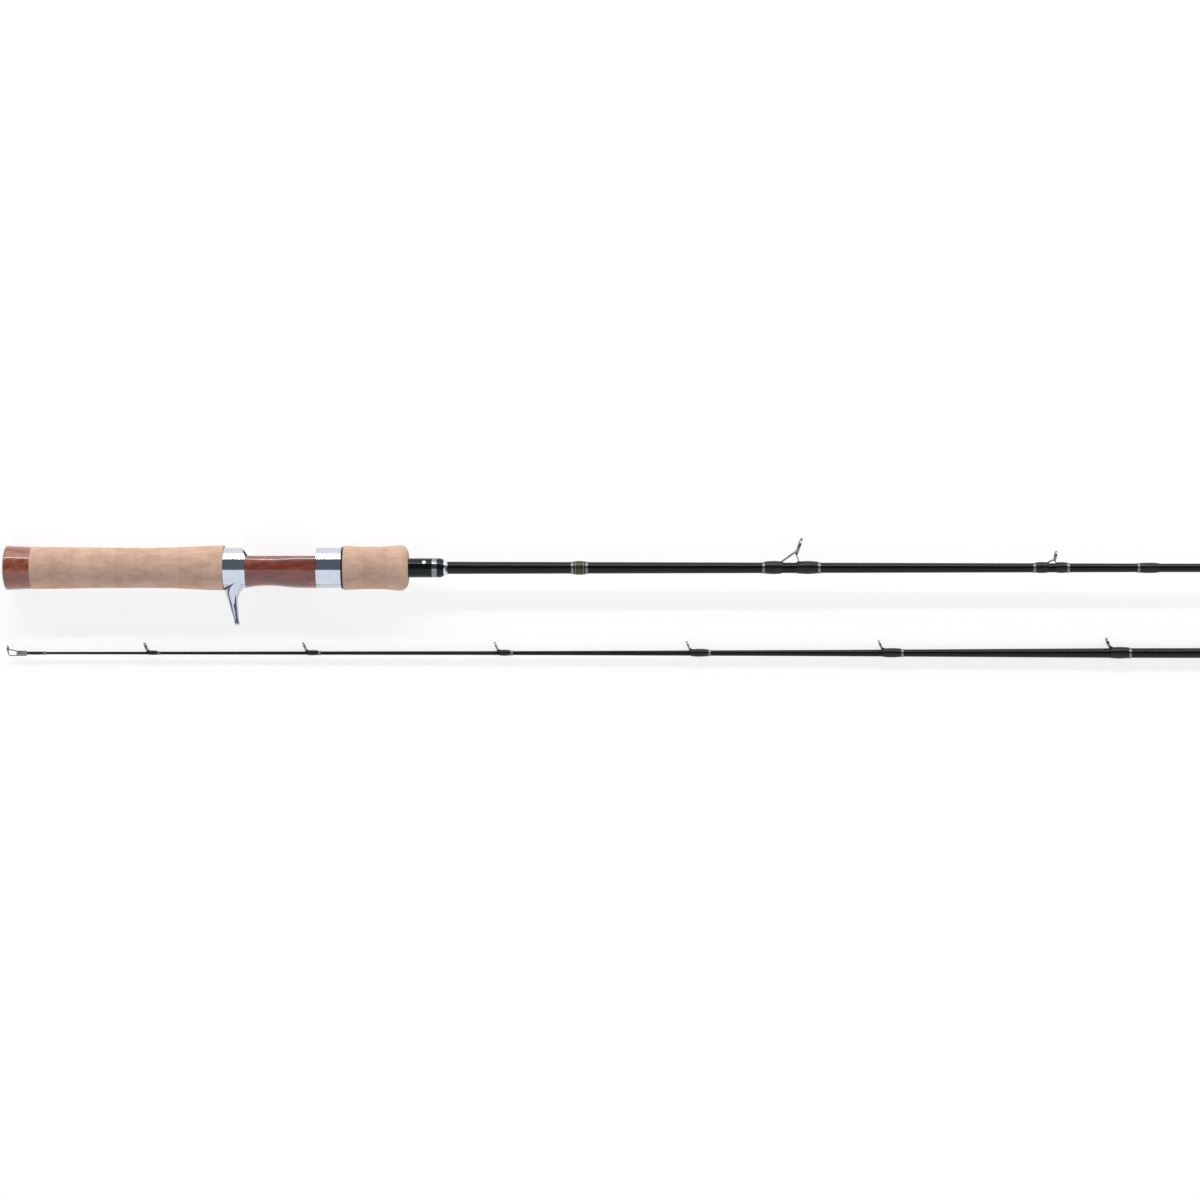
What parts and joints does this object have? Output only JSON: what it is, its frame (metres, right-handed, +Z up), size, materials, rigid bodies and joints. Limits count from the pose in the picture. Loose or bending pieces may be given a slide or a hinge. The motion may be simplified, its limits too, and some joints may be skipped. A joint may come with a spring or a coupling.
{
  "type": "two-piece casting rod",
  "caption": "Take-down fishing rod with a trigger reel seat, cork grips, line guides and a push-together ferrule, laid out in its sections.",
  "frame": {"origin": "middle of the laid-out rod's bounding box, on the surface it lies on", "axes": "+X along both sections, from the butt cap to the male ferrule; +Y towards the guides and the reel seat's open side; +Z up from the surface"},
  "size_m": [0.741, 0.0712, 0.0268],
  "materials": {
    "blank": "gloss black finish over a rolled carbon tube",
    "wood": "red-brown hardwood under high gloss varnish",
    "cork": "bare sanded cork",
    "polished_aluminium": "polished",
    "black_barrel": "gloss black",
    "silver_trim": "bright",
    "arbor_foam": "cut rigid foam",
    "nut_aluminium": "black anodised",
    "clip_steel": "spring steel",
    "washer_plastic": "moulded",
    "gold_thread": "gold and black thread under clear epoxy",
    "silver_thread": "metallic thread under clear epoxy",
    "black_thread": "black thread under clear epoxy",
    "guide_steel": "polished stamped steel",
    "guide_ceramic": "polished dark ceramic"
  },
  "bodies": {
    "butt_section": {"butt_blank": "blank", "butt_cap": "wood", "seat_body": "wood", "rear_grip": "cork", "rear_hood": "polished_aluminium", "barrel": "black_barrel", "barrel_band": "silver_trim", "barrel_pin": "silver_trim", "barrel_arbors": "arbor_foam", "winding_check": "silver_trim", "decor_wrap": "gold_thread", "decor_bands": "silver_thread", "ferrule_collar": "black_thread", "ferrule_collar_band": "silver_thread", "stripper_guide_frame": "guide_steel", "stripper_guide_ring": "guide_ceramic", "stripper_guide_wraps": "black_thread", "stripper_guide_bands": "silver_thread", "second_guide_frame": "guide_steel", "second_guide_ring": "guide_ceramic", "second_guide_wraps": "black_thread", "second_guide_bands": "silver_thread"},
    "front_hood": {"front_hood": "polished_aluminium"},
    "fore_grip": {"fore_grip": "cork", "lock_nut": "nut_aluminium", "thrust_washer": "washer_plastic", "hood_clip": "clip_steel"},
    "tip_section": {"tip_blank": "blank", "socket_wrap": "black_thread", "socket_wrap_band": "silver_thread", "tip_guide_bands": "silver_thread", "tip_top_tube": "guide_steel", "tip_top_frame": "guide_steel", "tip_top_ring": "guide_ceramic", "tip_top_wrap": "black_thread", "tip_top_band": "silver_thread", "guide_3_frame": "guide_steel", "guide_3_ring": "guide_ceramic", "guide_3_wrap": "black_thread", "guide_4_frame": "guide_steel", "guide_4_ring": "guide_ceramic", "guide_4_wrap": "black_thread", "guide_5_frame": "guide_steel", "guide_5_ring": "guide_ceramic", "guide_5_wrap": "black_thread", "guide_6_frame": "guide_steel", "guide_6_ring": "guide_ceramic", "guide_6_wrap": "black_thread", "guide_7_frame": "guide_steel", "guide_7_ring": "guide_ceramic", "guide_7_wrap": "black_thread", "guide_8_frame": "guide_steel", "guide_8_ring": "guide_ceramic", "guide_8_wrap": "black_thread"}
  },
  "joints": [
    {"name": "hood_slide", "type": "slide", "parent": "butt_section", "child": "front_hood", "axis": [1, 0, 0], "range_m": [0, 0.01]},
    {"name": "fore_grip_turn", "type": "hinge", "parent": "front_hood", "child": "fore_grip", "pos_m": [-0.1708, 0.01796, 0.01342], "axis": [1, 0, 0], "range_deg": [0, 1800]},
    {"name": "tip_section_turn", "type": "hinge", "parent": "butt_section", "child": "tip_section", "pos_m": [0.3705, -0.03204, 0.00353], "axis": [0, 1, 0], "range_deg": [0, 180]}
  ],
  "couplings": [
    {"joint": "hood_slide", "follows": "fore_grip_turn", "m_per_rad": 0.0003183}
  ]
}
